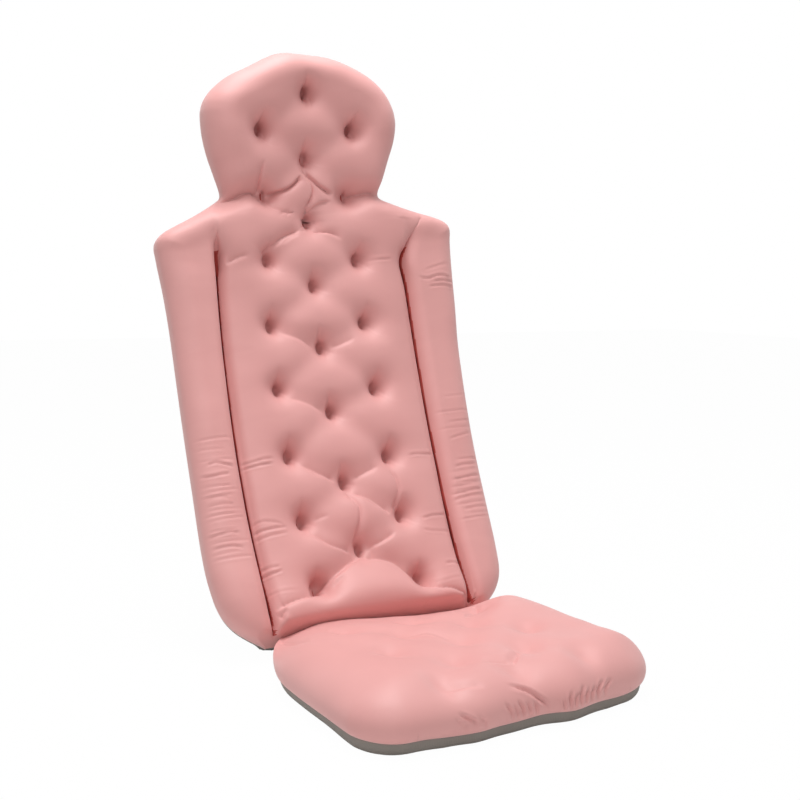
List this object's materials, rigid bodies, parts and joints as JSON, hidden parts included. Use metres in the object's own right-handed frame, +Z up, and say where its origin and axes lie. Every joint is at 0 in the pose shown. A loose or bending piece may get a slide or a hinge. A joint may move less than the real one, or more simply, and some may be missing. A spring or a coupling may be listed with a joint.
{
  "type": "bath pillow",
  "caption": "Full-length tufted bath pillow folded at the waist: head pad, bolstered back pad and seat pad in pink stretch satin with grey backing and rear suction cups",
  "frame": {"origin": "middle of the bounding box, on the floor plane under the seat", "axes": "X across the pad, Y from the seat's front edge towards the back, Z up"},
  "size_m": [0.4098, 0.5538, 0.6971],
  "materials": {
    "pink_satin": "smooth stretch satin knit with a soft sheen",
    "grey_knit": "dull grey backing knit",
    "fibre": "white loft fibre filling",
    "thread": "rose sewing thread",
    "clear_vinyl": "clear soft vinyl, glossy"
  },
  "bodies": {
    "seat": {"seat_front_cover": "pink_satin", "seat_filling": "fibre", "seat_backing": "grey_knit", "seat_tack_1": "thread", "seat_tack_2": "thread", "seat_tack_3": "thread", "seat_tack_4": "thread", "seat_tack_5": "thread", "seat_tack_6": "thread", "seat_tack_7": "thread", "seat_tack_8": "thread", "seat_tack_9": "thread", "seat_tack_10": "thread", "seat_tack_11": "thread", "seat_tack_12": "thread", "seat_tack_13": "thread", "waist_seam": "grey_knit"},
    "back": {"back_panel_cover": "pink_satin", "back_panel_filling": "fibre", "back_backing": "grey_knit", "left_bolster_cover": "pink_satin", "left_bolster_filling": "fibre", "right_bolster_cover": "pink_satin", "right_bolster_filling": "fibre", "back_tack_1": "thread", "back_tack_2": "thread", "back_tack_3": "thread", "back_tack_4": "thread", "back_tack_5": "thread", "back_tack_6": "thread", "back_tack_7": "thread", "back_tack_8": "thread", "back_tack_9": "thread", "back_tack_10": "thread", "back_tack_11": "thread", "back_tack_12": "thread", "back_tack_13": "thread", "back_tack_14": "thread", "back_tack_15": "thread", "back_tack_16": "thread", "back_tack_17": "thread", "back_tack_18": "thread", "back_tack_19": "thread", "back_tack_20": "thread", "neck_seam": "grey_knit", "back_left_cup": "clear_vinyl", "back_left_strap": "grey_knit", "back_right_cup": "clear_vinyl", "back_right_strap": "grey_knit"},
    "head": {"head_front_cover": "pink_satin", "head_filling": "fibre", "head_backing": "grey_knit", "head_tack_1": "thread", "head_tack_2": "thread", "head_tack_3": "thread", "head_tack_4": "thread", "head_left_cup": "clear_vinyl", "head_left_strap": "grey_knit", "head_right_cup": "clear_vinyl", "head_right_strap": "grey_knit"}
  },
  "joints": [
    {"name": "waist_fold", "type": "hinge", "parent": "seat", "child": "back", "pos_m": [0, 0.03312, 0.012], "axis": [-1, 0, 0], "range_deg": [0, 50]},
    {"name": "neck_fold", "type": "hinge", "parent": "back", "child": "head", "pos_m": [0, 0.24243, 0.53749], "axis": [-1, 0, 0], "range_deg": [-25, 50]}
  ]
}
